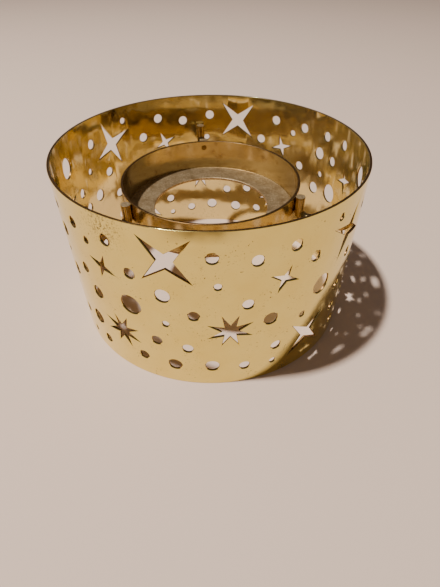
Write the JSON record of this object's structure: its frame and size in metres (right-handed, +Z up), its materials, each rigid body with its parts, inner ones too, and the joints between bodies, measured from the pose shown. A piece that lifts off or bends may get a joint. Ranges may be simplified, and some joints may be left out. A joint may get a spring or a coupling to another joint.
{
  "type": "votive candle holder",
  "caption": "Pierced brass band with a candle-glass cup ring held inside it on bent rods; light shines through the round holes and stars.",
  "frame": {"origin": "centre of the resting face, on the shell's axis", "axes": "+Z up along the shell's axis, -Y towards the front, +X to the right seen from the front"},
  "size_m": [0.1524, 0.1524, 0.0897],
  "materials": {
    "shell_brass": "polished",
    "cup_brass": "polished",
    "ledge_brass": "dull, unpolished",
    "rod_brass": "polished",
    "rivet_brass": "dark, tarnished",
    "braze": "as brazed"
  },
  "bodies": {
    "root": {"outer_shell": "shell_brass", "cup_ring": "cup_brass", "ledge_plate": "ledge_brass", "bracket_rod_1": "rod_brass", "bracket_rivet_1": "rivet_brass", "braze_fillet_1": "braze", "bracket_rod_2": "rod_brass", "bracket_rivet_2": "rivet_brass", "braze_fillet_2": "braze", "bracket_rod_3": "rod_brass", "bracket_rivet_3": "rivet_brass", "braze_fillet_3": "braze"}
  },
  "joints": []
}
